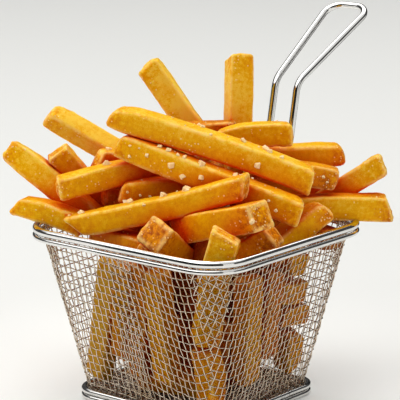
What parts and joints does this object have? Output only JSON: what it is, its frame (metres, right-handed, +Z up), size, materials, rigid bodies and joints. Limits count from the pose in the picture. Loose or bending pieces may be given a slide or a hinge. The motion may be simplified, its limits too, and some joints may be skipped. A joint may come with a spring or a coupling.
{
  "type": "french fries portion in a mesh serving basket",
  "caption": "Square-cut french fries heaped over the rim of a small tapered wire-mesh serving basket with a raised wire-loop handle.",
  "frame": {"origin": "bottom centre of the whole object's box, on the surface it stands on", "axes": "+Z up, +Y towards the handle, which leans out over the +Y side; +X to the right seen from the side opposite the handle"},
  "size_m": [0.1348, 0.166, 0.1532],
  "materials": {
    "chrome_wire": "polished plated steel wire",
    "mesh_steel": "woven bright steel wire, fine square weave",
    "fried_potato": "deep-fried potato, golden crust with browner edges and ends, thin film of oil"
  },
  "bodies": {
    "root": {"rim_upper_wire": "chrome_wire", "rim_lower_wire": "chrome_wire", "base_upper_wire": "chrome_wire", "base_lower_wire": "chrome_wire", "handle_wire": "chrome_wire", "mesh_basket": "mesh_steel", "fries_heap": "fried_potato"}
  },
  "joints": []
}
